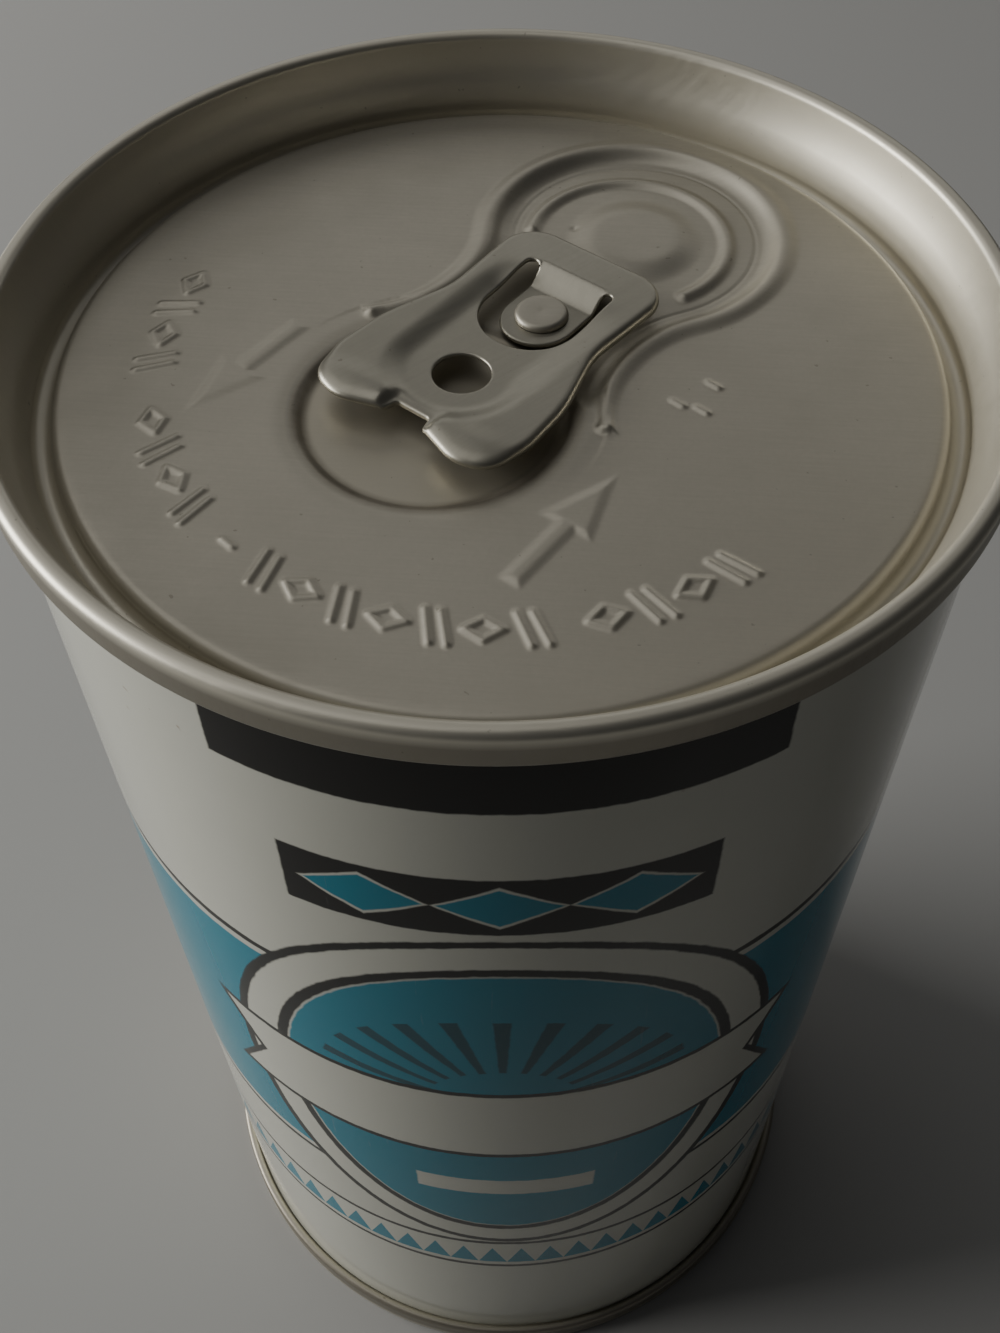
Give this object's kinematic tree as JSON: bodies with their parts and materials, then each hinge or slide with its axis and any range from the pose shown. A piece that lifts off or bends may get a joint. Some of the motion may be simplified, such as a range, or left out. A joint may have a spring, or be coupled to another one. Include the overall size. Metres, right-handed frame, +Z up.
{
  "type": "steel beer can",
  "caption": "Shut cylindrical steel drinks can with a stay-on pull tab end, a double seam at each end and a printed body.",
  "frame": {"origin": "centre of the ring that the can stands on", "axes": "+Z up along the can's axis, -Y towards the front of the label"},
  "size_m": [0.0682, 0.0682, 0.1222],
  "materials": {
    "printed_body": "glossy varnished print, black, off-white and teal",
    "end_metal": "satin lacquered steel",
    "tab_metal": "satin steel",
    "bottom_metal": "satin lacquered steel"
  },
  "bodies": {
    "root": {"can_body": "printed_body", "top_end": "end_metal", "pull_tab": "tab_metal", "bottom_end": "bottom_metal"}
  },
  "joints": []
}
